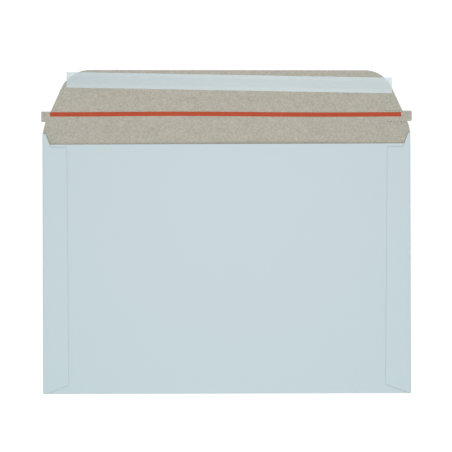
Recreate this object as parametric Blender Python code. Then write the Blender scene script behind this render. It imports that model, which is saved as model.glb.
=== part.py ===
"""Board envelope with an open closure flap, lying on its address panel.

One die-cut blank of white-lined board makes the pocket. The address panel lies underneath, the seam
panel is folded up over it at the foot, and a side flap is folded over the seam panel from each side
and glued. The closure flap swings on the crease at the pocket's mouth, and carries a tear tape and a
strip of adhesive under a release liner.

All lengths are in metres. X runs across the envelope, Y from its foot to the flap, Z up from the
surface that it lies on. The origin is at the middle of the footprint.
"""

from math import cos, pi, radians, sin, tan

import bmesh
import bpy
from mathutils import Matrix, Vector

# Pocket
POCKET_WIDTH = 0.353
POCKET_HEIGHT = 0.250
BOARD = 0.0006
POCKET_GAP = 0.0003
MOUTH_DROP = 0.0104
MOUTH_BOW = 0.0006
MOUTH_BOW_LENGTH = 0.070
SEAM_PANEL_CLEARANCE = 0.00025

# Side flaps, folded over the seam panel, the right one a little narrower than the left
LEFT_SIDE_FLAP_WIDTH = 0.0232
RIGHT_SIDE_FLAP_WIDTH = 0.0224
SIDE_FLAP_FLARE = 0.0013
SIDE_FLAP_ROOT_DROP = 0.0007
SIDE_FLAP_ROOT_INSET = 0.0022
SIDE_FLAP_SHOULDER_DROP = 0.0132
SIDE_FLAP_SHOULDER_INSET = 0.0069
SIDE_FLAP_FOOT_RISE = 0.0086
LEFT_TOE_INSET = 0.0037
RIGHT_TOE_INSET = 0.0018
SIDE_FLAP_TOE_RISE = 0.0002

# Glue lines under the side flaps
GLUE_THICKNESS = 0.0001
GLUE_EDGE_MARGIN = 0.0040
GLUE_FOLD_MARGIN = 0.0050
GLUE_END_MARGIN = 0.0100

# Closure flap
CREASE_GAP = 0.0003
CLOSED_CLEARANCE = 0.0003
FLAP_DEPTH = 0.0610
FLAP_BASE_INSET = 0.0001
FLAP_NECK_INSET = 0.0029
TAB_FOOT = 0.0112
TAB_HEIGHT = 0.0100
TAB_REACH = 0.0015
LEFT_NECK_BULGE = 0.0001
RIGHT_NECK_BULGE = 0.0006
LEFT_TAB_RADIUS = 0.0004
RIGHT_TAB_RADIUS = 0.0014
FLAP_SHOULDER_INSET = 0.0079
FLAP_SIDE_LEAN = radians(24)
FLAP_CORNER_RADIUS = 0.0340

# Perforations beside the right tab
SLIT_LENGTH = 0.0015
SLIT_WIDTH = 0.0005
SLIT_TAB_OFFSET = 0.00035
UPPER_SLITS = 5
UPPER_SLIT_PITCH = 0.00315
UPPER_SLIT_EDGE = 0.0023
LOWER_SLITS = 6
LOWER_SLIT_PITCH = 0.0032
LOWER_SLIT_EDGE = 0.0029

# Tear tape, a little way below the tabs' upper edge, with the slow wander of a hand-fed web
TAPE_WIDTH = 0.0041
TAPE_THICKNESS = 0.0001
TAPE_TAB_DROP = 0.0029
TAPE_WANDER = 0.0005
TAPE_WANDER_PHASE = radians(-25)
TAPE_LEFT_MARGIN = 0.0088
TAPE_RIGHT_MARGIN = 0.0102

# Release liner and the adhesive under it, laid slightly askew
LINER_WIDTH = 0.0146
LINER_THICKNESS = 0.00008
LINER_TOP_MARGIN = 0.01225
LINER_LEFT_MARGIN = 0.0233
LINER_RIGHT_MARGIN = 0.0175
LINER_SKEW = radians(-1.16)
ADHESIVE_WIDTH = 0.0078
ADHESIVE_SIDE_MARGIN = 0.0370
ADHESIVE_THICKNESS = 0.0001

# Clearance that a film or a glue line keeps from the board
FILM_CLEARANCE = 0.00005

# Smoothness of the curves
FOLD_STEPS = 8
ARC_STEP = radians(7.5)
TAPE_STEPS = 24
BOW_COLUMNS = 12
BOW_ROWS = 5
NECK_STEPS = 5

# Heights of the layers, worked out from the sizes above
SEAM_PANEL_Z = BOARD + POCKET_GAP
GLUE_Z = SEAM_PANEL_Z + BOARD + FILM_CLEARANCE
SIDE_FLAP_Z = GLUE_Z + GLUE_THICKNESS + FILM_CLEARANCE
STACK_HEIGHT = SIDE_FLAP_Z + BOARD
TAPE_Z = BOARD + FILM_CLEARANCE
ADHESIVE_Z = BOARD + FILM_CLEARANCE
LINER_Z = ADHESIVE_Z + ADHESIVE_THICKNESS + FILM_CLEARANCE
LINER_TOP = LINER_Z + LINER_THICKNESS
TAPE_TOP = TAPE_Z + TAPE_THICKNESS

# Folds: each outer radius is half the height that the fold climbs
SIDE_FOLD_RADIUS = STACK_HEIGHT / 2
FOOT_FOLD_RADIUS = (SEAM_PANEL_Z + BOARD) / 2
SIDE_FOLD_LENGTH = pi * (SIDE_FOLD_RADIUS - BOARD / 2)
FOOT_FOLD_LENGTH = pi * (FOOT_FOLD_RADIUS - BOARD / 2)

# Lines of the plan
HALF_WIDTH = POCKET_WIDTH / 2
FOOT_Y = -(POCKET_HEIGHT + FLAP_DEPTH) / 2
CREASE_Y = FOOT_Y + POCKET_HEIGHT
SIDE_FOLD_X = HALF_WIDTH - SIDE_FOLD_RADIUS
FOOT_FOLD_Y = FOOT_Y + FOOT_FOLD_RADIUS
MOUTH_Y = CREASE_Y - MOUTH_DROP
SEAM_PANEL_HALF = SIDE_FOLD_X - SEAM_PANEL_CLEARANCE
TAB_HALF = HALF_WIDTH + TAB_REACH

# The flap turns about a line high enough for it to close over everything below it
HINGE_Z = (STACK_HEIGHT + CLOSED_CLEARANCE + max(LINER_TOP, TAPE_TOP)) / 2


def clear_scene():
    for item in list(bpy.data.objects):
        bpy.data.objects.remove(item, do_unlink=True)


def make_material(name, colour, roughness, alpha=1.0):
    material = bpy.data.materials.new(name)
    material.use_nodes = True
    material.diffuse_color = (*colour, alpha)
    shader = material.node_tree.nodes["Principled BSDF"]
    shader.inputs["Base Color"].default_value = (*colour, 1.0)
    shader.inputs["Roughness"].default_value = roughness
    shader.inputs["Metallic"].default_value = 0.0
    shader.inputs["Alpha"].default_value = alpha
    return material


def add_object(name, mesh, materials, parent=None, location=(0, 0, 0)):
    item = bpy.data.objects.new(name, mesh)
    for material in materials:
        mesh.materials.append(material)
    bpy.context.scene.collection.objects.link(item)
    item.parent = parent
    item.location = location
    return item


def arc(centre, radius, start, end):
    """Points along a circular arc, both ends included."""
    steps = max(2, round(abs(end - start) / ARC_STEP))
    angles = [start + (end - start) * step / steps for step in range(steps + 1)]
    return [(centre[0] + radius * cos(a), centre[1] + radius * sin(a)) for a in angles]


def slab(outline, thickness):
    """A flat sheet in bmesh: the outline's face at z = 0 and the same face one thickness up."""
    sheet = bmesh.new()
    corners = [sheet.verts.new((x, y, 0)) for x, y in outline]
    sheet.faces.new(corners)
    thicken(sheet, thickness)
    return sheet


def thicken(sheet, thickness):
    """Gives a flat sheet its thickness. Faces of the lower side keep material 0, the others get 1."""
    for face in sheet.faces:
        face.material_index = 0
    raised = bmesh.ops.extrude_face_region(sheet, geom=list(sheet.faces), use_keep_orig=True)
    moved = [item for item in raised["geom"] if isinstance(item, bmesh.types.BMVert)]
    bmesh.ops.translate(sheet, verts=moved, vec=(0, 0, thickness))
    for face in sheet.faces:
        if any(vertex.co.z > thickness / 2 for vertex in face.verts):
            face.material_index = 1
    bmesh.ops.recalc_face_normals(sheet, faces=list(sheet.faces))


def to_mesh(sheet, name):
    mesh = bpy.data.meshes.new(name)
    sheet.to_mesh(mesh)
    sheet.free()
    mesh.shade_smooth()
    mesh.set_sharp_from_angle(angle=radians(30))
    return mesh


def cut_along(sheet, faces, point, normal):
    """Scores the given faces along a line, without parting them."""
    edges = {edge for face in faces for edge in face.edges}
    corners = {vertex for face in faces for vertex in face.verts}
    geometry = list(faces) + list(edges) + list(corners)
    bmesh.ops.bisect_plane(sheet, geom=geometry, dist=1e-7, plane_co=point, plane_no=normal)


def flat_x(inset):
    """Where a point of a side flap, this far in from the pocket's side, lies on the unfolded blank."""
    return SIDE_FOLD_X + SIDE_FOLD_LENGTH + inset - SIDE_FOLD_RADIUS


def flat_y(height):
    """Where a row of the seam panel, this far up from the pocket's foot, lies on the unfolded blank."""
    return FOOT_FOLD_Y - FOOT_FOLD_LENGTH - (height - FOOT_FOLD_RADIUS)


def blank_half_outline(flap_width, toe_inset):
    """Right half of the unfolded pocket's outline, from the seam panel's mouth round to the crease."""
    root_y = CREASE_Y - SIDE_FLAP_ROOT_DROP
    shoulder_y = CREASE_Y - SIDE_FLAP_SHOULDER_DROP
    toe_y = FOOT_Y + SIDE_FLAP_TOE_RISE
    return [
        (SEAM_PANEL_HALF, flat_y(MOUTH_Y - FOOT_Y)),
        (SEAM_PANEL_HALF, FOOT_FOLD_Y),
        (SIDE_FOLD_X, FOOT_FOLD_Y),
        (SIDE_FOLD_X, toe_y),
        (flat_x(toe_inset), toe_y),
        (flat_x(flap_width + SIDE_FLAP_FLARE), FOOT_Y + SIDE_FLAP_FOOT_RISE),
        (flat_x(flap_width), shoulder_y),
        (flat_x(SIDE_FLAP_SHOULDER_INSET), shoulder_y),
        (flat_x(SIDE_FLAP_ROOT_INSET), root_y),
        (SIDE_FOLD_X, root_y),
        (SIDE_FOLD_X, CREASE_Y - CREASE_GAP / 2),
    ]


def both_halves(right, left):
    """A whole outline from its right half and the mirror image of its left half."""
    return right + [(-x, y) for x, y in reversed(left)]


def score_blank(sheet):
    """Cuts the blank's faces along its folds, and into a grid where the mouth is bowed."""
    for step in range(FOLD_STEPS + 1):
        across = SIDE_FOLD_X + SIDE_FOLD_LENGTH * step / FOLD_STEPS
        for side in (-1, 1):
            cut_along(sheet, list(sheet.faces), (side * across, 0, 0), (1, 0, 0))
    for step in range(FOLD_STEPS + 1):
        down = FOOT_FOLD_Y - FOOT_FOLD_LENGTH * step / FOLD_STEPS
        cut_along(sheet, list(sheet.faces), (0, down, 0), (0, 1, 0))
    bow_half = bow_half_width()
    for column in range(BOW_COLUMNS + 1):
        x = bow_half * (2 * column / BOW_COLUMNS - 1)
        cut_along(sheet, seam_panel_faces(sheet), (x, 0, 0), (1, 0, 0))
    for row in range(1, BOW_ROWS + 1):
        y = flat_y(MOUTH_Y - FOOT_Y - MOUTH_BOW_LENGTH * row / BOW_ROWS)
        cut_along(sheet, seam_panel_faces(sheet), (0, y, 0), (0, 1, 0))


def seam_panel_faces(sheet):
    top = FOOT_FOLD_Y - FOOT_FOLD_LENGTH
    return [face for face in sheet.faces if face.calc_center_median().y < top]


def bow_half_width():
    """Half the width of the seam panel that its side flaps leave free."""
    return HALF_WIDTH - max(LEFT_SIDE_FLAP_WIDTH, RIGHT_SIDE_FLAP_WIDTH) - SIDE_FLAP_FLARE


def mouth_bow(x, height):
    """How far the seam panel stands up, highest in the middle of the mouth."""
    across = min(1.0, abs(x) / bow_half_width())
    down = min(1.0, max(0.0, (MOUTH_Y - FOOT_Y - height) / MOUTH_BOW_LENGTH))
    return MOUTH_BOW * cos(pi / 2 * across) ** 2 * cos(pi / 2 * down) ** 2


def fold_side(point):
    """Carries a point of the blank round a side fold and on over the pocket."""
    side = 1 if point.x > 0 else -1
    beyond = abs(point.x) - SIDE_FOLD_X
    radius = SIDE_FOLD_RADIUS - point.z
    if beyond <= SIDE_FOLD_LENGTH:
        turn = pi * beyond / SIDE_FOLD_LENGTH
        x = SIDE_FOLD_X + radius * sin(turn)
        return Vector((side * x, point.y, SIDE_FOLD_RADIUS - radius * cos(turn)))
    x = SIDE_FOLD_X - (beyond - SIDE_FOLD_LENGTH)
    return Vector((side * x, point.y, SIDE_FOLD_RADIUS + radius))


def fold_foot(point):
    """Carries a point of the blank round the foot fold and up the seam panel."""
    beyond = FOOT_FOLD_Y - point.y
    radius = FOOT_FOLD_RADIUS - point.z
    if beyond <= 0:
        return point
    if beyond <= FOOT_FOLD_LENGTH:
        turn = pi * beyond / FOOT_FOLD_LENGTH
        y = FOOT_FOLD_Y - radius * sin(turn)
        return Vector((point.x, y, FOOT_FOLD_RADIUS - radius * cos(turn)))
    y = FOOT_FOLD_Y + (beyond - FOOT_FOLD_LENGTH)
    z = FOOT_FOLD_RADIUS + radius + mouth_bow(point.x, y - FOOT_Y)
    return Vector((point.x, y, z))


def make_pocket(lined, grey):
    """The pocket: the blank is cut out, scored, given its thickness and folded."""
    right = blank_half_outline(RIGHT_SIDE_FLAP_WIDTH, RIGHT_TOE_INSET)
    left = blank_half_outline(LEFT_SIDE_FLAP_WIDTH, LEFT_TOE_INSET)
    sheet = bmesh.new()
    sheet.faces.new([sheet.verts.new((x, y, 0)) for x, y in both_halves(right, left)])
    score_blank(sheet)
    thicken(sheet, BOARD)
    for vertex in sheet.verts:
        fold = fold_side if abs(vertex.co.x) > SIDE_FOLD_X else fold_foot
        vertex.co = fold(vertex.co.copy())
    return add_object("pocket_board", to_mesh(sheet, "pocket_board"), [lined, grey])


def make_seam_glue(name, side, flap_width, glue):
    """One glue line, between a side flap and the seam panel."""
    outer = HALF_WIDTH - GLUE_FOLD_MARGIN
    inner = HALF_WIDTH - flap_width + GLUE_EDGE_MARGIN
    foot = FOOT_Y + SIDE_FLAP_FOOT_RISE + GLUE_END_MARGIN
    head = CREASE_Y - SIDE_FLAP_SHOULDER_DROP - GLUE_END_MARGIN
    outline = [(inner, foot), (outer, foot), (outer, head), (inner, head)]
    if side < 0:
        outline = [(-x, y) for x, y in reversed(outline)]
    sheet = slab(outline, GLUE_THICKNESS)
    return add_object(name, to_mesh(sheet, name), [glue], location=(0, 0, GLUE_Z))


def flap_side(rise):
    """Half the flap's width on its leaning upper side, this far above the crease."""
    return HALF_WIDTH - FLAP_SHOULDER_INSET - (rise - TAB_FOOT - TAB_HEIGHT) * tan(FLAP_SIDE_LEAN)


def flap_neck(bulge):
    """The flap's side between the crease and the tab, bowed outwards by the bulge."""
    base = Vector((HALF_WIDTH - FLAP_BASE_INSET, CREASE_GAP / 2))
    top = Vector((HALF_WIDTH - FLAP_NECK_INSET, TAB_FOOT))
    points = []
    for step in range(NECK_STEPS + 1):
        share = step / NECK_STEPS
        point = base.lerp(top, share)
        points.append((point.x + bulge * sin(pi * share), point.y))
    return points


def flap_half_outline(tab_radius, neck_bulge):
    """Right half of the flap's outline, from the crease up to the end of its top edge."""
    tab_top = TAB_FOOT + TAB_HEIGHT
    tangent = FLAP_CORNER_RADIUS * tan((pi / 2 - FLAP_SIDE_LEAN) / 2)
    corner = (flap_side(FLAP_DEPTH) - tangent, FLAP_DEPTH - FLAP_CORNER_RADIUS)
    lower = (TAB_HALF - tab_radius, TAB_FOOT + tab_radius)
    upper = (TAB_HALF - tab_radius, tab_top - tab_radius)
    return [
        *flap_neck(neck_bulge),
        *arc(lower, tab_radius, -pi / 2, 0),
        *arc(upper, tab_radius, 0, pi / 2),
        (flap_side(tab_top), tab_top),
        *arc(corner, FLAP_CORNER_RADIUS, FLAP_SIDE_LEAN, pi / 2),
    ]


def perforation_cutter():
    """Two rows of short slits that let the tear strip start at the right tab."""
    tab_top = TAB_FOOT + TAB_HEIGHT
    lower_edge = HALF_WIDTH - FLAP_NECK_INSET - LOWER_SLIT_EDGE
    upper_edge = flap_side(tab_top) - UPPER_SLIT_EDGE
    rows = (
        (tab_top + SLIT_TAB_OFFSET, upper_edge, UPPER_SLITS, UPPER_SLIT_PITCH),
        (TAB_FOOT - SLIT_TAB_OFFSET, lower_edge, LOWER_SLITS, LOWER_SLIT_PITCH),
    )
    slits = bmesh.new()
    size = Matrix.Diagonal((SLIT_LENGTH, SLIT_WIDTH, 3 * BOARD, 1))
    for rise, edge, count, pitch in rows:
        for number in range(count):
            place = Matrix.Translation((edge - number * pitch, rise, BOARD / 2))
            bmesh.ops.create_cube(slits, size=1, matrix=place @ size)
    return to_mesh(slits, "tear_perforations")


def make_flap(hinge, lined, grey):
    """The closure flap, cut out with its tabs and perforated beside the right one."""
    right = flap_half_outline(RIGHT_TAB_RADIUS, RIGHT_NECK_BULGE)
    left = flap_half_outline(LEFT_TAB_RADIUS, LEFT_NECK_BULGE)
    sheet = slab(both_halves(right, left), BOARD)
    place = (0, 0, -HINGE_Z)
    flap = add_object("closure_flap", to_mesh(sheet, "closure_flap"), [lined, grey], hinge, place)
    cutter = add_object("tear_perforations", perforation_cutter(), [grey, grey], hinge, place)
    cutter.hide_render = True
    cutter.display_type = "WIRE"
    slits = flap.modifiers.new("Tear perforations", "BOOLEAN")
    slits.operation = "DIFFERENCE"
    slits.solver = "EXACT"
    slits.object = cutter
    return flap


def tape_rise(x):
    """Height of the tape's centre line above the crease."""
    turn = 2 * pi * x / POCKET_WIDTH + TAPE_WANDER_PHASE
    return TAB_FOOT + TAB_HEIGHT - TAPE_TAB_DROP - TAPE_WANDER * sin(turn)


def make_tape(hinge, film):
    """The tear tape, a narrow film from tab to tab."""
    left = -TAB_HALF + TAPE_LEFT_MARGIN
    right = TAB_HALF - TAPE_RIGHT_MARGIN
    stations = [left + (right - left) * step / TAPE_STEPS for step in range(TAPE_STEPS + 1)]
    lower = [(x, tape_rise(x) - TAPE_WIDTH / 2) for x in stations]
    upper = [(x, tape_rise(x) + TAPE_WIDTH / 2) for x in reversed(stations)]
    mesh = to_mesh(slab(lower + upper, TAPE_THICKNESS), "tear_tape")
    return add_object("tear_tape", mesh, [film], hinge, (0, 0, TAPE_Z - HINGE_Z))


def make_strip(name, hinge, material, ends, width, layer):
    """A straight strip between two distances from the liner's middle, on its centre line and skew."""
    left, right = ends
    lower, upper = -width / 2, width / 2
    bottom, thickness = layer
    sheet = slab([(left, lower), (right, lower), (right, upper), (left, upper)], thickness)
    place = (liner_middle(), FLAP_DEPTH - LINER_TOP_MARGIN, bottom - HINGE_Z)
    strip = add_object(name, to_mesh(sheet, name), [material], hinge, place)
    strip.rotation_euler.z = LINER_SKEW
    return strip


def liner_middle():
    """Where the liner's middle lies across the envelope."""
    return (LINER_LEFT_MARGIN - LINER_RIGHT_MARGIN) / 2


def make_seal(hinge, adhesive, liner):
    """The adhesive strip and the release liner that covers it and overhangs the flap's corners."""
    reach = HALF_WIDTH - ADHESIVE_SIDE_MARGIN
    glue_ends = (-reach - liner_middle(), reach - liner_middle())
    liner_half = HALF_WIDTH - (LINER_LEFT_MARGIN + LINER_RIGHT_MARGIN) / 2
    glue_layer = (ADHESIVE_Z, ADHESIVE_THICKNESS)
    liner_layer = (LINER_Z, LINER_THICKNESS)
    make_strip("seal_adhesive", hinge, adhesive, glue_ends, ADHESIVE_WIDTH, glue_layer)
    make_strip("release_liner", hinge, liner, (-liner_half, liner_half), LINER_WIDTH, liner_layer)


def make_hinge():
    """The line in the crease that the flap turns about."""
    hinge = bpy.data.objects.new("flap_crease", None)
    bpy.context.scene.collection.objects.link(hinge)
    hinge.location = (0, CREASE_Y, HINGE_Z)
    return hinge


def main():
    clear_scene()
    lined = make_material("White lined face", (0.591, 0.680, 0.701), 0.65)
    grey = make_material("Grey recycled board", (0.451, 0.429, 0.366), 0.90)
    film = make_material("Red tear film", (0.462, 0.085, 0.045), 0.40)
    liner = make_material("Release liner", (0.610, 0.700, 0.740), 0.35, 0.80)
    adhesive = make_material("Clear adhesive", (0.700, 0.720, 0.700), 0.25, 0.50)
    glue = make_material("Seam glue", (0.550, 0.500, 0.400), 0.50)
    make_pocket(lined, grey)
    make_seam_glue("left_seam_glue", -1, LEFT_SIDE_FLAP_WIDTH, glue)
    make_seam_glue("right_seam_glue", 1, RIGHT_SIDE_FLAP_WIDTH, glue)
    hinge = make_hinge()
    make_flap(hinge, lined, grey)
    make_tape(hinge, film)
    make_seal(hinge, adhesive, liner)


main()
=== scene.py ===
"""Board envelope with an open closure flap, lying on its address panel.

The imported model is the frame. One folded sheet of white-lined board stands for the pocket and the closure
flap, from the foot fold through the crease to the flap's free edge. The tear tape, the seal under its
release liner and the glue of the side seams lie on it.

Lengths are in metres. X runs across the envelope, Y from its foot to the flap, Z up from the surface that
it lies on. The blank is the sheet before it is folded: its outer, white-lined face lies at depth zero and
its inner, grey face one board thickness up.
"""

from functools import cache
from math import ceil, cos, exp, pi, radians, sin, tan

import bmesh
import bpy
from bpy.props import FloatProperty, FloatVectorProperty, IntProperty, PointerProperty
from bpy.types import NodeSocket, Operator, Panel, PropertyGroup
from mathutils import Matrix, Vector, noise


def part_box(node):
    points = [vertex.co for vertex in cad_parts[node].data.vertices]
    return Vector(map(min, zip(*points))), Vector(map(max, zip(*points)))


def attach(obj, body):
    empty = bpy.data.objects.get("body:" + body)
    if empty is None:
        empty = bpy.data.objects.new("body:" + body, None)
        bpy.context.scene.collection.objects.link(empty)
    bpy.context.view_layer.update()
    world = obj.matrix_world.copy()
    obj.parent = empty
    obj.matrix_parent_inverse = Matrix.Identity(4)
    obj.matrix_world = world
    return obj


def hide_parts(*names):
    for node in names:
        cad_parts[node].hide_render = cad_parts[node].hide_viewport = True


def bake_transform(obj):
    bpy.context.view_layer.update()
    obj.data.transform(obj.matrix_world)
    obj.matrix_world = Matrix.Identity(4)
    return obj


bl_info = {
    "name": "Board envelope",
    "version": (1, 0, 0),
    "blender": (4, 5, 0),
    "location": "View3D > Sidebar > Envelope",
    "description": "Makes a mailing envelope of folded, white-lined grey board",
    "category": "Object",
}

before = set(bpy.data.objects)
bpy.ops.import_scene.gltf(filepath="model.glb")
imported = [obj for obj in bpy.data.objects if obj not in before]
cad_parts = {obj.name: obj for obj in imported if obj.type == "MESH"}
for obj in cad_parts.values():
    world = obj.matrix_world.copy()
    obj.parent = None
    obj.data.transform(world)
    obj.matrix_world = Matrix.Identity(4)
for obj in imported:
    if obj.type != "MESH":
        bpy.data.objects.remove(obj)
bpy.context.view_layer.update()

# Fixed measures: lengths in metres, angles in degrees

CELL = 0.006
SIDE_STEPS = 14
FOOT_STEPS = 12
CREASE_STEPS = 12
BEAD_STEPS = 6
NECK_STEPS = 5
ARC_STEP = 7.5
SIDE_FLAP_REACH = 0.025
RIM_INSET = 0.00035
RIM_ROUND = 0.00008
LEAN_SPREAD = 3.5
DENT_RING = 0.0042
DENT_WIDTH = 0.0018
FLAP_DRIFT = 0.00006
OUTER_BEAD = 0.45
SLIT_SLOPE = (0.01, 0.9)
BOARD_CRISP = 22
STRIP_CRISP = 20
GLUE_CRISP = 50
FLOOR_HALF = 4.0
FLOOR_LEVEL = -0.00005
FLOOR_GLOW = 0.7
SENSOR = 36.0

LINED, GREY, EDGE, WALL = range(4)
WHITE = (1.0, 1.0, 1.0)


# Properties

def named(group):
    """Gives each property of a group the name of its attribute."""
    for label, item in group.__annotations__.items():
        item.keywords["name"] = label.replace("_", " ").capitalize()
    return group


def length(default, description):
    """A length in metres."""
    return FloatProperty(default=default, description=description, min=0.0, precision=5,
                         subtype="DISTANCE", unit="LENGTH")


def angle(degrees, description):
    """An angle, given in degrees and kept in radians."""
    return FloatProperty(default=radians(degrees), description=description, subtype="ANGLE",
                         unit="ROTATION")


def pair(left, right, description):
    """Two lengths in metres, one for the left and one for the right."""
    return FloatVectorProperty(default=(left, right), description=description + ", left and right",
                               size=2, min=0.0, precision=5, unit="LENGTH")


def share(default, description):
    """A part of the whole, from none to all."""
    return FloatProperty(default=default, description=description, min=0.0, max=1.0,
                         subtype="FACTOR")


def colour(default, description):
    """A linear colour."""
    return FloatVectorProperty(default=default, description=description, size=3, min=0.0,
                               max=1.0, subtype="COLOR")


def number(default, description):
    """A whole number."""
    return IntProperty(default=default, description=description, min=0)


def power(default, description):
    """A lamp's power in watts."""
    return FloatProperty(default=default, description=description, unit="POWER")


@named
class PocketSizes(PropertyGroup):
    """Sizes of the folded pocket."""

    width: length(0.353, "Across the folded pocket")
    height: length(0.250, "From the foot fold to the crease")
    board: length(0.0006, "Thickness of the lined board")
    gap: length(0.0003, "Room between the two panels")
    mouth_drop: length(0.0101, "Seam panel's edge below the crease")
    mouth_bow: length(0.00074, "Rise of the seam panel at the mouth")
    bow_shift: length(0.055, "Top of that rise, right of the middle")
    bow_length: length(0.070, "How far down the bow runs out")
    mouth_skew: angle(0.06, "Turn of the seam panel's edge")
    mouth_lean: length(0.0003, "Lining drawn back from the cut at the mouth")
    seam_clearance: length(0.00025, "Seam panel's sides to the side folds")
    settling: length(0.00016, "How far the seam panel sinks")


@named
class SideFlapSizes(PropertyGroup):
    """Sizes of the two flaps that are folded over the seam panel. Insets are from the pocket's side."""

    width: pair(0.0232, 0.0221, "Width at the shoulder")
    flare: pair(0.0013, 0.0022, "Extra width at the foot")
    root_drop: length(0.0003, "Upper end below the crease")
    root_inset: pair(0.0030, 0.0022, "Upper end's corner")
    shoulder_drop: length(0.0136, "Shoulder below the crease")
    shoulder_inset: pair(0.0079, 0.0070, "Shoulder's start")
    foot_rise: length(0.0086, "Foot corner above the pocket's foot")
    toe_inset: pair(0.0037, 0.0018, "Toe")
    toe_rise: length(0.0002, "Toe above the pocket's foot")
    toe_lean: length(0.0003, "Lining drawn back from the cut along the toes")
    dent: length(0.00014, "Depth of the pressed spot by the right foot corner")
    press: length(0.00017, "How far the free edge is pressed down")
    press_width: length(0.0028, "How far in from the edge that reaches")


@named
class ClosureFlapSizes(PropertyGroup):
    """Sizes of the closure flap and its crease. Insets are from the pocket's side."""

    depth: length(0.061, "From the crease to the free edge")
    base_inset: length(0.0001, "Flap's base")
    base_rise: length(0.0001, "Base corner above the crease")
    trim: pair(0.0, 0.00093, "Free edge cut back")
    neck_inset: length(0.0029, "Neck's top")
    tab_foot: length(0.0112, "Tab's lower edge above the crease")
    tab_height: length(0.010, "Height of the tear strip's tabs")
    tab_reach: length(0.0015, "Tab beyond the pocket's side")
    left_tab_trim: length(0.0003, "How much shorter the left tab is")
    neck_bulge: pair(0.0001, 0.0006, "Outward bow of the neck")
    tab_radius: pair(0.0004, 0.0014, "Corner of the tab")
    inset: pair(0.0079, 0.0074, "Side above the tab")
    left_lean: angle(24.3, "Lean of the left side above the tab")
    right_lean: angle(24.7, "Lean of the right side above the tab")
    radius: pair(0.0306, 0.0284, "Radius of the free corner")
    curl: length(0.00026, "Rise of the free edge's middle")
    bend_half: length(0.0009, "Half the width of the creased band")
    bead_height: length(0.00018, "Ridge that the creasing rule leaves inside")
    bead_spread: length(0.0003, "Half-width of that ridge")
    bead_rise: length(0.0005, "Ridge above the crease")


@named
class TearStripSizes(PropertyGroup):
    """Sizes of the tear tape and of the slits that start it."""

    slit_length: length(0.0013, "Length of a slit")
    slit_width: length(0.00055, "Width of a slit")
    tab_offset: length(0.00035, "Slits outside the tab's edges")
    upper_slits: number(5, "Slits above the tab")
    upper_pitch: length(0.00315, "Spacing of the upper slits")
    upper_edge: length(0.0030, "First upper slit, in from the flap's side")
    lower_slits: number(6, "Slits below the tab")
    lower_pitch: length(0.0032, "Spacing of the lower slits")
    lower_edge: length(0.0027, "First lower slit, in from the neck")
    faint_slits: number(3, "Slits at the left that the knife hardly made")
    faint_pitch: length(0.0027, "Spacing of the faint slits")
    faint_edge: length(0.0107, "First faint slit, in from the flap's side")
    tape_width: length(0.0042, "Width of the tear tape")
    tab_drop: length(0.00296, "Tape's middle below the tabs' upper edge")
    wander: length(0.00034, "Slow sideways drift of the tape")
    phase: angle(-35, "Where along the tape the drift starts")
    wavelength: length(0.259, "Length of one drift of the tape")
    tape_skew: angle(-0.20, "Turn of the tape on the flap")
    left_margin: length(0.0088, "Tape's end, in from the tab")
    right_margin: length(0.0102, "Tape's end, in from the tab")


@named
class SealSizes(PropertyGroup):
    """Sizes of the adhesive strip and its release liner."""

    liner_width: length(0.0150, "Width of the release liner")
    top_margin: length(0.01245, "Liner's middle below the free edge")
    left_margin: length(0.0232, "Liner's end, in from the pocket's side")
    right_margin: length(0.0173, "Liner's end, in from the pocket's side")
    skew: angle(-1.16, "Turn of the liner on the flap")
    end_lift: length(0.00035, "Rise of the liner's free ends")
    adhesive_width: length(0.0078, "Width of the adhesive strip")
    side_margin: length(0.0370, "Adhesive's ends, in from the pocket's sides")


@named
class GlueSizes(PropertyGroup):
    """Sizes of the glue under the side flaps."""

    beads: number(4, "Beads of glue side by side")
    bead_fill: share(0.82, "Part of the glued width that the beads cover")


@named
class Finishes(PropertyGroup):
    """Colours of the boards, films and glues. The slit wall's colour is painted shade, and the cut edge's
    is partly painted shade.
    """

    lined_face: colour((0.591, 0.675, 0.699), "Pale blue-white outer face")
    grey_board: colour((0.474, 0.440, 0.373), "Uncoated inner face")
    # Partly painted shade: darker than the plies are, to give the shadow lines along the mouth and the side
    # flaps' toes.
    cut_edge: colour((0.230, 0.200, 0.152), "Plies at a cut edge")
    slit_wall: colour((0.040, 0.034, 0.025), "Crushed plies in a slit")
    fold_wear: colour((0.470, 0.455, 0.405), "Rubbed lining on a fold")
    # Painted shade: the slit walls are coloured near black to stand for the shadow inside the slits.
    tear_film: colour((0.485, 0.076, 0.0325), "Red film")
    liner: colour((0.752, 0.816, 0.827), "Silicone-coated paper")
    liner_cover: share(0.60, "How much each side of the liner hides")
    adhesive: colour((0.560, 0.575, 0.545), "Pressure-sensitive strip")
    adhesive_cover: share(0.45, "How much the adhesive hides")
    seam_glue: colour((0.550, 0.500, 0.400), "Dried glue")


@named
class StageSettings(PropertyGroup):
    """Light and camera."""

    camera_height: length(1.5, "Camera above the floor")
    view_width: length(0.43412, "Width of the picture at the envelope")
    view_x: FloatProperty(default=-0.0006, description="Middle of the picture", unit="LENGTH")
    view_y: FloatProperty(default=0.0054, description="Middle of the picture", unit="LENGTH")
    view_turn: angle(-0.155, "Turn of the camera about the vertical")
    dome_strength: share(0.47, "Even light from all round")
    dome_colour: colour(WHITE, "Tint of the even light")
    key_power: power(10.5, "High lamp")
    key_colour: colour((0.49, 0.883, 1.0), "Tint of the high lamp")
    near_power: power(0.57, "Near lamp")
    near_colour: colour((1.0, 0.374, 0.187), "Tint of the near lamp")
    low_power: power(20.0, "Low lamp")


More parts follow.
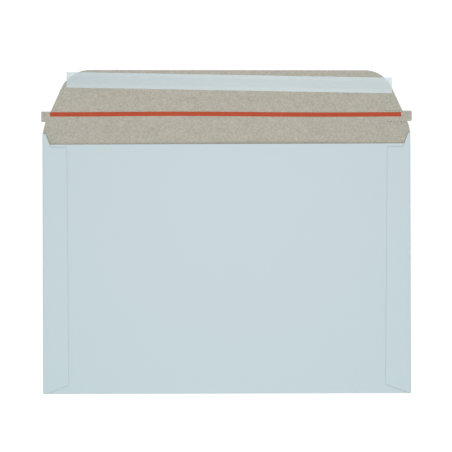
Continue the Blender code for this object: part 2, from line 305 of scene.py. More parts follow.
class EnvelopeSettings(PropertyGroup):
    """Everything that shapes, colours or lights the envelope."""

    pocket: PointerProperty(type=PocketSizes)
    side_flaps: PointerProperty(type=SideFlapSizes)
    closure_flap: PointerProperty(type=ClosureFlapSizes)
    tear_strip: PointerProperty(type=TearStripSizes)
    seal: PointerProperty(type=SealSizes)
    glue: PointerProperty(type=GlueSizes)
    finishes: PointerProperty(type=Finishes)
    stage: PointerProperty(type=StageSettings)


GROUPS = tuple(EnvelopeSettings.__annotations__)


def pick(pair, side):
    """The left one of a pair where side is below zero, or else the right one."""
    return pair[0] if side < 0 else pair[1]


# Lines and heights

def clamp(value):
    """The value, kept between 0 and 1."""
    return min(1.0, max(0.0, value))


def patches(x, y, across, along, layer):
    """Slow noise over the envelope, with this many patches to a metre each way."""
    return noise.noise(Vector((x * across, y * along, layer)))


class Layout:
    """Where the folded envelope's lines and layers lie, worked out from its settings."""

    def __init__(self, envelope):
        for name in GROUPS:
            setattr(self, name, getattr(envelope, name))
        pocket = self.pocket
        flap = self.closure_flap
        self.board = pocket.board
        self.side_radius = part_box("pocket_board")[1].z / 2
        self.foot_radius = (pocket.board + pocket.gap + pocket.board) / 2
        self.side_length = pi * (self.side_radius - pocket.board / 2)
        self.foot_length = pi * (self.foot_radius - pocket.board / 2)
        self.half_width = pocket.width / 2
        self.foot = -(pocket.height + flap.depth) / 2
        self.crease = self.foot + pocket.height
        self.side_fold = self.half_width - self.side_radius
        self.foot_fold = self.foot + self.foot_radius
        self.mouth = self.crease - pocket.mouth_drop
        self.seam_half = self.side_fold - pocket.seam_clearance
        self.tab_half = self.half_width + flap.tab_reach
        self.tab_top = flap.tab_foot + flap.tab_height

    def mouth_line(self, x):
        """Where the seam panel's edge lies, a little out of square."""
        return self.mouth + x * tan(self.pocket.mouth_skew)

    def flat_x(self, inset):
        """Where a point of a side flap, this far in from the side, lies on the blank."""
        return self.side_fold + self.side_length + inset - self.side_radius

    def flat_y(self, y):
        """Where a row of the seam panel lies on the blank."""
        return self.foot_fold - self.foot_length - (y - self.foot_fold)

    def flap_side(self, rise, side):
        """Half the flap's width on one leaning side, this far above the crease."""
        flap = self.closure_flap
        lean = tan(pick((flap.left_lean, flap.right_lean), side))
        return self.half_width - pick(flap.inset, side) - (rise - self.tab_top) * lean

    def foot_width(self, side):
        """Width of one side flap at its foot corner."""
        flaps = self.side_flaps
        return pick(flaps.width, side) + pick(flaps.flare, side)

    def foot_corner(self, side):
        """A side flap's corner at its foot, as if it were the right one."""
        rise = self.side_flaps.foot_rise
        return self.half_width - self.foot_width(side), self.foot + rise

    def mouth_bow(self, x, y):
        """How far the seam panel stands up, highest a little to the right of the mouth's middle."""
        pocket = self.pocket
        free_half = self.half_width - max(self.foot_width(-1), self.foot_width(1))
        aside = x - pocket.bow_shift
        half = free_half + (pocket.bow_shift if aside < 0 else -pocket.bow_shift)
        across = clamp(abs(aside) / half)
        down = clamp((self.mouth - y) / pocket.bow_length)
        return pocket.mouth_bow * cos(pi / 2 * across) ** 2 * cos(pi / 2 * down) ** 2

    def settling(self, x, y):
        """How far the seam panel and the side flaps over it sink, least at the folds."""
        across = max(0.0, cos(pi / 2 * clamp(abs(x) / self.side_fold))) ** 0.5
        along = max(0.0, sin(pi * (y - self.foot) / (self.crease - self.foot))) ** 0.5
        drift = patches(x, y, 11, 9, 3.1)
        return self.pocket.settling * across * along * (0.75 + 0.45 * drift)

    def foot_dent(self, x, y):
        """The pressed spot behind the right side flap's foot corner."""
        corner_x, corner_y = self.foot_corner(1)
        distance = ((x - corner_x) ** 2 + (y - corner_y) ** 2) ** 0.5
        return self.side_flaps.dent * exp(-(((distance - DENT_RING) / DENT_WIDTH) ** 2))

    def edge_press(self, x, y):
        """How far a side flap is pressed down along its shoulder and its free edge."""
        flaps = self.side_flaps
        shoulder = self.crease - flaps.shoulder_drop
        corner = (self.half_width - pick(flaps.width, x), shoulder)
        distance = min(
            segment_distance(x, y, (self.half_width, shoulder), corner),
            segment_distance(x, y, corner, self.foot_corner(x)),
        )
        return flaps.press * exp(-(distance / flaps.press_width) ** 2)

    def toe_draw(self, x, y):
        """How far the lining stands back from the cut along a side flap's toe."""
        flaps = self.side_flaps
        toe = (self.half_width - pick(flaps.toe_inset, x), self.foot + flaps.toe_rise)
        distance = segment_distance(x, y, toe, self.foot_corner(x))
        return flaps.toe_lean * max(0.0, 1.0 - distance / (LEAN_SPREAD * flaps.toe_lean))

    def flap_rise(self, x, y):
        """How far the closure flap and all that lies on it stand off the floor."""
        flap = self.closure_flap
        up = clamp((y - self.crease) / flap.depth)
        across = max(0.0, cos(pi * x / (2 * self.half_width)))
        drift = 0.5 + patches(x, y, 9, 12, 7.7)
        return up * up * (flap.curl * across + FLAP_DRIFT * drift)


# Geometry helpers

def segment_distance(x, y, start, end):
    """How far a point, taken to the right half, is from the line between two others."""
    point, start, end = (Vector(spot) for spot in ((abs(x), y), start, end))
    along = end - start
    return (start + along * clamp((point - start).dot(along) / along.length_squared) - point).length


def arc(centre, radius, start, end):
    """Points along a circular arc, both ends included."""
    steps = max(2, round(abs(end - start) / radians(ARC_STEP)))
    angles = [start + (end - start) * step / steps for step in range(steps + 1)]
    return [(centre[0] + radius * cos(a), centre[1] + radius * sin(a)) for a in angles]


def add_object(name, data):
    """An object at the origin."""
    item = bpy.data.objects.new(name, data)
    bpy.context.scene.collection.objects.link(item)
    return item


def add_piece(name, mesh, materials=()):
    """A mesh object at the origin, with its place in its mesh."""
    for material in materials:
        mesh.materials.append(material)
    return add_object(name, mesh)


def drop_piece(piece):
    """Removes a helper object with its mesh."""
    mesh = piece.data
    bpy.data.objects.remove(piece)
    bpy.data.meshes.remove(mesh)


def evaluated_mesh(piece, name):
    """A plain mesh of the object as its modifiers leave it."""
    graph = bpy.context.evaluated_depsgraph_get()
    mesh = bpy.data.meshes.new_from_object(piece.evaluated_get(graph))
    mesh.name = name
    return mesh


def grown_piece(name, tree, values):
    """The plain mesh piece that a geometry tree makes from these named inputs."""
    holder = add_piece(name + "_tree", bpy.data.meshes.new(name + "_tree"))
    modifier = holder.modifiers.new(tree.name, "NODES")
    modifier.node_group = tree
    sockets = {item.name: item.identifier for item in tree.interface.items_tree}
    for label, value in values.items():
        modifier[sockets[label]] = value
    mesh = evaluated_mesh(holder, name)
    drop_piece(holder)
    if not mesh.polygons:
        raise RuntimeError(f"{name}: its tree made no faces")
    return add_piece(name, mesh)


def finish_mesh(mesh, crisp):
    """Smooth shading, with edges sharper than this many degrees left crisp."""
    mesh.shade_smooth()
    mesh.set_sharp_from_angle(angle=radians(crisp))


# Node helpers

def fill(tree, item, inputs):
    """Fills a node's inputs from values or other nodes' sockets, and returns its outputs."""
    for key, value in inputs.items():
        if isinstance(value, NodeSocket):
            tree.links.new(value, item.inputs[key])
        else:
            item.inputs[key].default_value = value
    return item.outputs


def place(tree, kind, *values, **settings):
    """Adds a node and returns its outputs. Its inputs are values in their order or settings with a
    capital letter, and the other settings are its options."""
    item = tree.nodes.new(kind)
    inputs = dict(enumerate(values))
    for key, value in settings.items():
        if key[0].isupper():
            inputs[key.replace("_", " ")] = value
        else:
            setattr(item, key, value)
    return fill(tree, item, inputs)


def take(tree, kind, *values, **settings):
    """The first output of a node that it adds."""
    return place(tree, kind, *values, **settings)[0]


def calculate(tree, operation, *values):
    """The result of a Math node on one, two or three values."""
    return take(tree, "ShaderNodeMath", *values, operation=operation)


def multiply(tree, first, second):
    """The product of two values."""
    return calculate(tree, "MULTIPLY", first, second)


def vector_math(tree, operation, *values):
    """The result of a Vector Math node."""
    return take(tree, "ShaderNodeVectorMath", *values, operation=operation)


def stretched(tree, vector, *factors):
    """A vector times one factor for each axis."""
    return vector_math(tree, "MULTIPLY", vector, factors)


def xyz(tree, *values):
    """A vector of up to three values."""
    return take(tree, "ShaderNodeCombineXYZ", *values)


def split_xyz(tree, vector):
    """A vector's three values."""
    return place(tree, "ShaderNodeSeparateXYZ", vector)


def turned(tree, vector, turn, centre=(0.0, 0.0, 0.0)):
    """A vector turned about the vertical."""
    return take(tree, "ShaderNodeVectorRotate", Vector=vector, Center=centre, Angle=turn,
                rotation_type="Z_AXIS")


def blend_colours(tree, factor, first, second, mode="MIX"):
    """The result of mixing two colours."""
    item = tree.nodes.new("ShaderNodeMix")
    item.data_type = "RGBA"
    item.blend_type = mode
    return fill(tree, item, {0: factor, 6: first, 7: second})[2]


def cover(tree, base, mask, tint):
    """The base colour with a tint over it, by a mask."""
    return blend_colours(tree, mask, base, (*tint, 1.0))


def lay_over(tree, base, mask, amount, tint):
    """The base colour with a tint over it, by a mask and a share of it."""
    return cover(tree, base, multiply(tree, mask, amount), tint)


def shade(tree, base, value):
    """The base colour times a grey of this value."""
    grey = take(tree, "ShaderNodeCombineColor", value, value, value)
    return blend_colours(tree, 1.0, base, grey, "MULTIPLY")


def smooth_step(tree, value, low, high, first=0.0, last=1.0):
    """A soft step from the first value to the last, between two levels."""
    return take(tree, "ShaderNodeMapRange", value, low, high, first, last,
                interpolation_type="SMOOTHSTEP")


def noise_at(tree, position, scale, detail=0.0, roughness=0.5, output="Fac"):
    """A noise texture's output at the given position."""
    return place(tree, "ShaderNodeTexNoise", Vector=position, Scale=scale, Detail=detail,
                 Roughness=roughness)[output]


def random_cells(tree, position, scale, chance):
    """Distances from the middles of a random grid's cells, and which of them are chosen."""
    cells = place(tree, "ShaderNodeTexVoronoi", Vector=position, Scale=scale, feature="F1")
    picked = take(tree, "ShaderNodeSeparateColor", cells["Color"])
    return cells["Distance"], calculate(tree, "LESS_THAN", picked, chance)


def new_tree(name, kind, inputs, outputs):
    """A node tree whose named inputs each have a default or a type, and its outputs a type."""
    tree = bpy.data.node_groups.new(name, kind)
    for label, given in inputs.items():
        typed = given if isinstance(given, str) else {float: "Float", int: "Int"}[type(given)]
        socket = tree.interface.new_socket(label, in_out="INPUT", socket_type="NodeSocket" + typed)
        if typed is not given:
            socket.default_value = given
    for label, typed in outputs.items():
        tree.interface.new_socket(label, in_out="OUTPUT", socket_type="NodeSocket" + typed)
    return tree, tree.nodes.new("NodeGroupInput").outputs, tree.nodes.new("NodeGroupOutput").inputs


def shape_tree(name, inputs):
    """A geometry tree with these named inputs and the material of its result."""
    inputs = {**inputs, "Material": "Material"}
    return new_tree(name, "GeometryNodeTree", inputs, {"Geometry": "Geometry"})


def close_tree(tree, result, **outputs):
    """Links the tree's outputs and sets its nodes out."""
    for label, socket in outputs.items():
        tree.links.new(socket, result[label])
    arrange(tree)
    return tree


def close_shape(tree, given, result, geometry):
    """Ends a geometry tree in plain geometry with its material."""
    real = take(tree, "GeometryNodeRealizeInstances", geometry)
    coated = take(tree, "GeometryNodeSetMaterial", Geometry=real, Material=given["Material"])
    return close_tree(tree, result, Geometry=coated)


def arrange(tree):
    """Sets the nodes out in columns, each to the right of the nodes that feed it."""
    feeds = {item: set() for item in tree.nodes}
    for link in tree.links:
        feeds[link.to_node].add(link.from_node)
    column = dict.fromkeys(tree.nodes, 0)
    for _ in range(len(tree.nodes)):
        for item, sources in feeds.items():
            column[item] = max([column[item], *(column[source] + 1 for source in sources)])
    rows = {}
    for item in tree.nodes:
        row = rows.setdefault(column[item], 0)
        item.location = (240 * column[item], -260 * row)
        rows[column[item]] = row + 1


# Surface groups

# Each size of cloud: how many to a millimetre, and how much detail they have
CLOUDS = {"Fine": (0.90, 1.5), "Small": (0.40, 1.0), "Medium": (0.13, 1.0), "Broad": (0.028, 1.0)}


@cache
def formation_group():
    """Cloudiness of a pressed sheet: tone and tint at four sizes, and the relief of its fibres."""
    inputs = {"Position": "Vector", **dict.fromkeys([*CLOUDS, "Tint"], 0.05)}
    outputs = {"Tone": "Float", "Tint": "Color", "Relief": "Float"}
    tree, given, result = new_tree("Board formation", "ShaderNodeTree", inputs, outputs)
    clouds = {}
    tone = 1.0
    for name, (scale, detail) in CLOUDS.items():
        clouds[name] = noise_at(tree, given["Position"], scale, detail)
        centred = calculate(tree, "SUBTRACT", clouds[name], 0.5)
        tone = calculate(tree, "MULTIPLY_ADD", centred, given[name], tone)
    drift = noise_at(tree, given["Position"], 0.46, 3.0, 0.65, "Color")
    parts = place(tree, "ShaderNodeSeparateColor", drift)
    warm, cool = (
        multiply(tree, calculate(tree, "SUBTRACT", parts[channel], 0.5), given["Tint"])
        for channel in (0, 2)
    )
    red = calculate(tree, "ADD", 1.0, warm)
    blue = calculate(tree, "MULTIPLY_ADD", cool, 0.4, 1.0)
    tint = take(tree, "ShaderNodeCombineColor", red, 1.0, blue)
    return close_tree(tree, result, Tone=tone, Tint=tint, Relief=clouds["Fine"])


@cache
def fleck_group():
    """Scattered specks: a share of the cells of a random grid holds one."""
    inputs = {"Position": "Vector", "Spacing": 3.0, "Size": 0.5, "Share": 0.3}
    tree, given, result = new_tree("Flecks", "ShaderNodeTree", inputs, {"Mask": "Float"})
    scale = calculate(tree, "DIVIDE", 1.0, given["Spacing"])
    distance, chosen = random_cells(tree, given["Position"], scale, given["Share"])
    edge = multiply(tree, given["Size"], scale)
    spot = smooth_step(tree, distance, multiply(tree, edge, 0.35), edge, 1.0, 0.0)
    return close_tree(tree, result, Mask=multiply(tree, spot, chosen))


@cache
def fibre_group():
    """Short hairs that lie in three directions and bend a little."""
    inputs = {"Position": "Vector", "Length": 2.5, "Width": 0.25, "Share": 0.4}
    tree, given, result = new_tree("Paper fibres", "ShaderNodeTree", inputs, {"Mask": "Float"})
    sway = noise_at(tree, given["Position"], 0.5, output="Color")
    bent = vector_math(tree, "MULTIPLY_ADD", sway, (1.6, 1.6, 0.0), given["Position"])
    lengthwise, sideways = (
        calculate(tree, "DIVIDE", 0.5, given[name]) for name in ("Length", "Width")
    )
    squeeze = xyz(tree, lengthwise, sideways, 0.2)
    mask = 0.0
    for turn in (12, 71, 134):
        laid = vector_math(tree, "MULTIPLY", turned(tree, bent, radians(turn)), squeeze)
        distance, chosen = random_cells(tree, laid, 1.0, given["Share"])
        hair = smooth_step(tree, distance, 0.10, 0.26, 1.0, 0.0)
        mask = calculate(tree, "MAXIMUM", multiply(tree, hair, chosen), mask)
    return close_tree(tree, result, Mask=mask)


@cache
def wear_group():
    """Rubbing on folds and cut edges, broken up by the sheet's own unevenness."""
    inputs = {"Position": "Vector", "Fold": 0.0, "Rim": 0.0, "Fold amount": 0.4, "Rim amount": 0.3}
    tree, given, result = new_tree("Fold wear", "ShaderNodeTree", inputs, {"Mask": "Float"})
    patch = noise_at(tree, given["Position"], 0.12, 3.0, 0.6)
    grain = noise_at(tree, given["Position"], 1.4, 2.0, 0.6)
    broken = multiply(tree, smooth_step(tree, patch, 0.35, 0.65, 0.35, 1.0),
                      smooth_step(tree, grain, 0.35, 0.65, 0.6, 1.0))
    ridge = multiply(tree, smooth_step(tree, given["Fold"], 0.25, 1.0), given["Fold amount"])
    rim = multiply(tree, given["Rim"], given["Rim amount"])
    both = multiply(tree, calculate(tree, "MAXIMUM", ridge, rim), broken)
    return close_tree(tree, result, Mask=both)


def use_group(tree, group, position, **values):
    """Places a surface group at a position and returns its outputs."""
    return place(tree, "ShaderNodeGroup", Position=position, **values, node_tree=group)


def fibres(tree, position, **values):
    """The mask of hairs of this length and width, on this share of the cells."""
    return use_group(tree, fibre_group(), position, **values)["Mask"]


def flecks(tree, position, shift=0.0, **values):
    """The mask of specks of this spacing and size, moved aside so that no two masks are alike."""
    moved = vector_math(tree, "ADD", position, (shift, shift / 2, 0.0))
    return use_group(tree, fleck_group(), moved, **values)["Mask"]


def rubbed(tree, position, **amounts):
    """The mask of wear, of these amounts on folds and on rims."""
    fold = take_attribute(tree, "fold", "Fac")
    rim = take_attribute(tree, "rim", "Fac")
    return use_group(tree, wear_group(), position, Fold=fold, Rim=rim, **amounts)["Mask"]


# Materials

def new_material(name, roughness, **constants):
    """A material and its tree, with plain values on its shader's own sockets."""
    material = bpy.data.materials.new(name)
    material.use_nodes = True
    shader = material.node_tree.nodes["Principled BSDF"]
    shader.inputs["Roughness"].default_value = roughness
    for label, value in constants.items():
        shader.inputs[label.replace("_", " ")].default_value = value
    return material, material.node_tree


def take_attribute(tree, name, output):
    """One of the mesh's own values."""
    return place(tree, "ShaderNodeAttribute", attribute_name=name)[output]


def millimetres(tree, source):
    """A position in millimetres."""
    return take(tree, "ShaderNodeVectorMath", source, Scale=1000.0, operation="SCALE")


def on_blank(tree):
    """The surface's place on the blank, in millimetres."""
    return millimetres(tree, take_attribute(tree, "blank", "Vector"))


def on_object(tree):
    """The surface's place in the object's own space, in millimetres."""
    return millimetres(tree, place(tree, "ShaderNodeTexCoord")["Object"])


def formed(tree, position, base, **amounts):
    """The base colour in a sheet's tone and tint, of these amounts, and the sheet's relief."""
    clouds = use_group(tree, formation_group(), position, **amounts)
    tinted = blend_colours(tree, 1.0, (*base, 1.0), clouds["Tint"], "MULTIPLY")
    return shade(tree, tinted, clouds["Tone"]), clouds["Relief"]


def close_material(material, face, roughness=None, height=None, depth=0.0):
    """Feeds the shader with its colour and, where they vary, its roughness and its relief."""
    tree = material.node_tree
    feeds = {"Base Color": face, "Roughness": roughness}
    if height is not None:
        feeds["Normal"] = take(tree, "ShaderNodeBump", Height=height, Distance=depth, Strength=1.0)
    shader = tree.nodes["Principled BSDF"]
    for label, socket in feeds.items():
        if socket is not None:
            tree.links.new(socket, shader.inputs[label])
    arrange(tree)
    return material


def finishes():
    """The chosen colours."""
    return bpy.context.scene.board_envelope.finishes


@cache
def lined_face():
    """The outer face: a thin white lining, a little rubbed on the folds."""
    material, tree = new_material("White lined face", 0.62, Specular_IOR_Level=0.35)
    position = on_blank(tree)
    face, relief = formed(tree, position, finishes().lined_face,
                          Fine=0.014, Small=0.005, Medium=0.003, Broad=0.008, Tint=0.004)
    hairs = fibres(tree, position, Length=2.2, Width=0.20, Share=0.45)
    wear = rubbed(tree, position, Fold_amount=0.55, Rim_amount=0.06)
    face = lay_over(tree, face, hairs, 0.05, (0.66, 0.73, 0.74))
    face = cover(tree, face, wear, finishes().fold_wear)
    sheen = smooth_step(tree, relief, 0.3, 0.7, 0.56, 0.68)
    roughness = calculate(tree, "MULTIPLY_ADD", wear, 0.2, sheen)
    height = calculate(tree, "MULTIPLY_ADD", hairs, 0.5, relief)
    return close_material(material, face, roughness, height, 0.000012)


@cache
def grey_face():
    """The inner face: uncoated recycled board with dark, pale and rusty flecks, and fibres."""
    material, tree = new_material("Grey recycled board", 0.9, Specular_IOR_Level=0.20)
    position = on_blank(tree)
    face, relief = formed(tree, position, finishes().grey_board,
                          Fine=0.680, Small=0.230, Medium=0.130, Broad=0.080, Tint=0.200)
    hairs = fibres(tree, position, Length=2.8, Width=0.25, Share=0.40)
    face = lay_over(tree, face, hairs, 0.22, (0.53, 0.52, 0.46))
    for shift, spacing, size, chance, amount, tint in (
        (0.0, 5.0, 0.80, 0.30, 0.34, (0.22, 0.20, 0.17)),
        (41.0, 4.0, 0.70, 0.35, 0.30, (0.62, 0.62, 0.58)),
        (87.0, 7.0, 0.90, 0.30, 0.40, (0.36, 0.23, 0.18)),
    ):
        specks = flecks(tree, position, shift, Spacing=spacing, Size=size, Share=chance)
        face = lay_over(tree, face, specks, amount, tint)
    wear = rubbed(tree, position, Fold_amount=0.35, Rim_amount=0.10)
    face = cover(tree, face, wear, (0.56, 0.54, 0.47))
    roughness = smooth_step(tree, relief, 0.3, 0.7, 0.84, 0.96)
    height = calculate(tree, "MULTIPLY_ADD", hairs, 0.6, relief)
    return close_material(material, face, roughness, height, 0.000030)


@cache
def slit_wall():
    """The crushed plies inside a slit, painted near black as the shade deep in the slit."""
    material, tree = new_material("Slit wall", 0.95, Specular_IOR_Level=0.0)
    plies, _ = formed(tree, on_blank(tree), finishes().slit_wall,
                      Fine=0.15, Small=0.08, Medium=0.05, Broad=0.03, Tint=0.03)
    return close_material(material, plies)


@cache
def cut_edge():
    """A cut edge: the white lining on the outer side, frayed here and there, then grey plies. The plies are
    partly their own dark colour and partly painted shade, darkened to give the shadow lines along the mouth
    and the side flaps' toes.
    """
    material, tree = new_material("Cut board edge", 0.92, Specular_IOR_Level=0.15)
    position = on_blank(tree)
    depth = split_xyz(tree, position)[2]
    streaks = noise_at(tree, stretched(tree, position, 0.35, 0.35, 9.0), 1.0, 3.0)
    core, _ = formed(tree, position, finishes().cut_edge,
                     Fine=0.15, Small=0.08, Medium=0.05, Broad=0.03, Tint=0.03)
    pale = smooth_step(tree, streaks, 0.35, 0.65, 0.0, 0.5)
    plies = cover(tree, core, pale, (0.38, 0.35, 0.29))
    frays = smooth_step(tree, noise_at(tree, position, 0.45, 1.0), 0.64, 0.70, 0.0, 0.6)
    lining = smooth_step(tree, calculate(tree, "SUBTRACT", depth, frays), 0.11, 0.16, 1.0, 0.0)
    edge = cover(tree, plies, lining, finishes().lined_face)
    return close_material(material, edge, None, streaks, 0.00003)


@cache
def tear_film():
    """Red film of the tear tape, drawn out lengthwise, with a few creases across it that are painted pale
    as highlights.
    """
    material, tree = new_material("Red tear film", 0.5, Specular_IOR_Level=0.08)
    position = on_object(tree)
    streaks = noise_at(tree, stretched(tree, position, 0.10, 1.1, 1.0), 1.0, 3.0)
    film, _ = formed(tree, position, finishes().tear_film,
                     Fine=0.05, Small=0.10, Medium=0.12, Broad=0.05, Tint=0.02)
    drawn = smooth_step(tree, streaks, 0.4, 0.75, 0.0, 0.16)
    film = cover(tree, film, drawn, (0.53, 0.10, 0.05))
    # Painted highlight: pale bands across the film stand for light glinting on its creases, and the same
    # bands raise the bump.
    waves = noise_at(tree, stretched(tree, position, 0.16, 0.03, 0.0), 1.0, 1.0)
    crease_glint = smooth_step(tree, waves, 0.66, 0.74)
    film = lay_over(tree, film, crease_glint, 0.12, (0.57, 0.14, 0.08))
    roughness = smooth_step(tree, streaks, 0.3, 0.7, 0.44, 0.56)
    return close_material(material, film, roughness, calculate(tree, "ADD", crease_glint, streaks), 0.00002)


@cache
def liner_paper():
    """Translucent silicone-coated paper, darker where the adhesive wets it, and painted lighter towards its
    right end, partly as painted light that makes up for the lamps' fall-off there.
    """
    opacity = finishes().liner_cover
    material, tree = new_material("Release liner", 0.36, Specular_IOR_Level=0.40, Alpha=opacity)
    position = on_object(tree)
    envelope = bpy.context.scene.board_envelope
    line = seal_line(Layout(envelope))
    centre = (1000 * line["Middle X"], 1000 * line["Middle Y"], 0.0)
    spot = vector_math(tree, "SUBTRACT", turned(tree, position, -line["Skew"], centre), centre)
    along, aside, _ = split_xyz(tree, spot)
    half = 500 * envelope.seal.adhesive_width
    distance = calculate(tree, "ABSOLUTE", aside)
    wetted = smooth_step(tree, distance, half - 0.4, half + 0.4, 0.962, 1.0)
    # Partly painted light: up to 7% lighter towards the right end, making up for the light falling off
    # there.
    lengthwise = smooth_step(tree, along, -170.0, 170.0, 1.0, 1.07)
    sheet, relief = formed(tree, position, finishes().liner,
                           Fine=0.020, Small=0.020, Medium=0.015, Broad=0.020, Tint=0.010)
    hairs = fibres(tree, position, Length=1.8, Width=0.18, Share=0.50)
    paper = shade(tree, sheet, multiply(tree, wetted, lengthwise))
    paper = lay_over(tree, paper, hairs, 0.06, (0.74, 0.81, 0.82))
    roughness = smooth_step(tree, relief, 0.3, 0.7, 0.32, 0.42)
    return close_material(material, paper, roughness, calculate(tree, "ADD", hairs, relief), 0.000008)


@cache
def adhesive_gum():
    """Clear pressure-sensitive adhesive, slightly streaked along the strip."""
    material, tree = new_material("Clear adhesive", 0.28, Alpha=finishes().adhesive_cover)
    position = on_object(tree)
    streaks = noise_at(tree, stretched(tree, position, 0.08, 1.6, 1.0), 1.0, 2.0)
    gum, _ = formed(tree, position, finishes().adhesive,
                    Fine=0.03, Small=0.04, Medium=0.05, Broad=0.03, Tint=0.01)
    drawn = smooth_step(tree, streaks, 0.35, 0.7, 0.0, 0.25)
    gum = cover(tree, gum, drawn, (0.66, 0.68, 0.65))
    return close_material(material, gum, None, streaks, 0.00002)


@cache
def dried_glue():
    """Dried seam glue, with bubbles."""
    material, tree = new_material("Seam glue", 0.45, Specular_IOR_Level=0.45)
    position = on_object(tree)
    glue, _ = formed(tree, position, finishes().seam_glue,
                     Fine=0.06, Small=0.08, Medium=0.10, Broad=0.05, Tint=0.02)
    bubbles = flecks(tree, position, Spacing=1.6, Size=0.5, Share=0.5)
    glue = lay_over(tree, glue, bubbles, 0.4, (0.64, 0.60, 0.50))
    roughness = smooth_step(tree, bubbles, 0.0, 1.0, 0.40, 0.55)
    return close_material(material, glue, roughness, bubbles, 0.00003)


# Board

def side_flap_outline(layout, side):
    """One side of the blank, from the seam panel's mouth round its side flap to the crease."""
    flaps = layout.side_flaps
    root_y = layout.crease - flaps.root_drop
    shoulder_y = layout.crease - flaps.shoulder_drop
    toe_y = layout.foot + flaps.toe_rise
    return [
        (layout.seam_half, layout.flat_y(layout.mouth_line(side * layout.seam_half))),
        (layout.seam_half, layout.foot_fold),
        (layout.side_fold, layout.foot_fold),
        (layout.side_fold, toe_y),
        (layout.flat_x(pick(flaps.toe_inset, side)), toe_y),
        (layout.flat_x(layout.foot_width(side)), layout.foot + flaps.foot_rise),
        (layout.flat_x(pick(flaps.width, side)), shoulder_y),
        (layout.flat_x(pick(flaps.shoulder_inset, side)), shoulder_y),
        (layout.flat_x(pick(flaps.root_inset, side)), root_y),
        (layout.side_fold, root_y),
        (layout.side_fold, layout.crease),
    ]


def flap_outline(layout, side):
    """One side of the closure flap, from its base up to the end of its top edge."""
    flap = layout.closure_flap
    base = Vector((layout.half_width - flap.base_inset, flap.base_rise))
    neck = Vector((layout.half_width - flap.neck_inset, flap.tab_foot))
    points = []
    bulge = pick(flap.neck_bulge, side)
    for step in range(NECK_STEPS + 1):
        point = base.lerp(neck, step / NECK_STEPS)
        points.append((point.x + bulge * sin(pi * step / NECK_STEPS), point.y))
    radius = pick(flap.tab_radius, side)
    tab_end = layout.tab_half - (flap.left_tab_trim if side < 0 else 0.0)
    points += arc((tab_end - radius, flap.tab_foot + radius), radius, -pi / 2, 0)
    points += arc((tab_end - radius, layout.tab_top - radius), radius, 0, pi / 2)
    points.append((layout.flap_side(layout.tab_top, side), layout.tab_top))
    lean = pick((flap.left_lean, flap.right_lean), side)
    radius = pick(flap.radius, side)
    top = flap.depth - pick(flap.trim, side)
    tangent = radius * tan((pi / 2 - lean) / 2)
    points += arc((layout.flap_side(top, side) - tangent, top - radius), radius, lean, pi / 2)
    return [(x, layout.crease + rise) for x, rise in points]


def blank_outline(layout):
    """The whole die-cut outline, once round."""
    right, left = (side_flap_outline(layout, side) + flap_outline(layout, side) for side in (1, -1))
    return right + [(-x, y) for x, y in reversed(left)]


def flat_blank(layout):
    """The blank as a thick sheet with rounded cut edges."""
    sheet = bmesh.new()
    face = sheet.faces.new([sheet.verts.new((x, y, 0)) for x, y in blank_outline(layout)])
    face.normal_update()
    bmesh.ops.inset_individual(sheet, faces=[face], thickness=RIM_INSET, use_even_offset=True)
    raised = bmesh.ops.extrude_face_region(sheet, geom=list(sheet.faces), use_keep_orig=True)
    moved = [item for item in raised["geom"] if isinstance(item, bmesh.types.BMVert)]
    bmesh.ops.translate(sheet, verts=moved, vec=(0, 0, layout.board))
    bmesh.ops.recalc_face_normals(sheet, faces=list(sheet.faces))
    for face in sheet.faces:
        upright = abs(face.normal.z) < 0.5
        face.material_index = EDGE if upright else GREY if face.normal.z > 0 else LINED
    kinds = {edge: {face.material_index for face in edge.link_faces} for edge in sheet.edges}
    rim = [edge for edge in sheet.edges if EDGE in kinds[edge] and len(kinds[edge]) == 2]
    bmesh.ops.bevel(sheet, geom=rim, offset=RIM_ROUND, offset_type="OFFSET", segments=2,
                    profile=0.5, affect="EDGES", clamp_overlap=True, material=EDGE)
    return sheet


SLIT_ROWS = ("Upper", "Lower", "Faint")


@cache
def perforation_tree():
    """Rows of knife teeth: one wedge a slit, blunt at the top, each a little off its place."""
    inputs = dict.fromkeys(("Length", "Width", "Depth", "Jitter"), 0.001)
    for row in SLIT_ROWS:
        inputs.update({row + " start": "Vector", row + " step": "Vector", row + " count": 5})
    tree, given, result = shape_tree("Tear perforations", {**inputs, "Seed": 3})
    joined = tree.nodes.new("GeometryNodeJoinGeometry")
    for row in SLIT_ROWS:
        count, start, step = (given[f"{row} {name}"] for name in ("count", "start", "step"))
        line = take(tree, "GeometryNodeMeshLine", Count=count, Start_Location=start, Offset=step,
                    mode="OFFSET")
        tree.links.new(line, joined.inputs[0])
    blade = take(tree, "GeometryNodeMeshCone", Vertices=6, Radius_Top=0.64, Radius_Bottom=0.02,
                 Depth=1.0)
    size = xyz(tree, given["Length"], given["Width"], given["Depth"])
    reach = xyz(tree, given["Jitter"], multiply(tree, given["Jitter"], 0.4))
    stray = take(tree, "FunctionNodeRandomValue", (-1.0, -1.0, 0.0), (1.0, 1.0, 0.0),
                 Seed=given["Seed"], data_type="FLOAT_VECTOR")
    nudged = take(tree, "GeometryNodeSetPosition", Geometry=joined.outputs[0],
                  Offset=vector_math(tree, "MULTIPLY", stray, reach))
    blades = take(tree, "GeometryNodeInstanceOnPoints", Points=nudged, Instance=blade, Scale=size)
    return close_shape(tree, given, result, blades)


